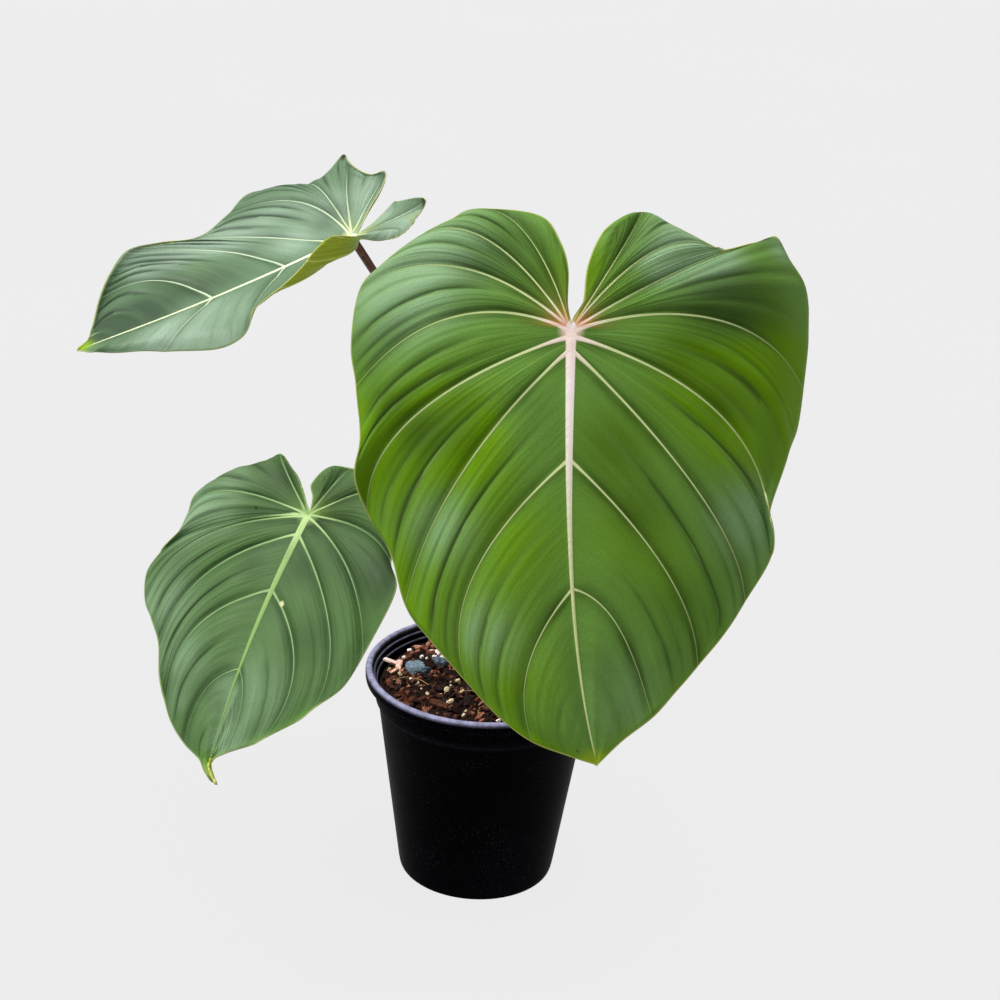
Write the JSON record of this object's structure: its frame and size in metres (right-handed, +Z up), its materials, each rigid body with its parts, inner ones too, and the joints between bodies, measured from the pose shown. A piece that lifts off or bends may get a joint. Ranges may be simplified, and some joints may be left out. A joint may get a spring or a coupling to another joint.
{
  "type": "potted philodendron plant",
  "caption": "Potted foliage plant with large velvety heart-shaped leaves, pale veins, slender stalks and a creeping stem in a round black nursery pot filled with barky mix.",
  "frame": {"origin": "centre of the pot's flat base, on the surface it stands on", "axes": "+Z up through the pot; -Y towards the side the biggest leaf faces; +X to the right seen from that side"},
  "size_m": [0.4413, 0.2453, 0.4364],
  "materials": {
    "pot_plastic": "moulded black polypropylene, satin",
    "bark_mix": "moist bark, peat and perlite, matt",
    "stem": "smooth living stem, satin",
    "leaf_green": "velvety living leaf",
    "leaf_sage": "velvety living leaf with a grey bloom"
  },
  "bodies": {
    "root": {"pot": "pot_plastic", "potting_mix": "bark_mix", "rhizome": "stem", "petiole_front": "stem", "petiole_upper": "stem", "petiole_lower": "stem", "blade_front": "leaf_green", "blade_upper": "leaf_sage", "blade_lower": "leaf_sage"}
  },
  "joints": []
}
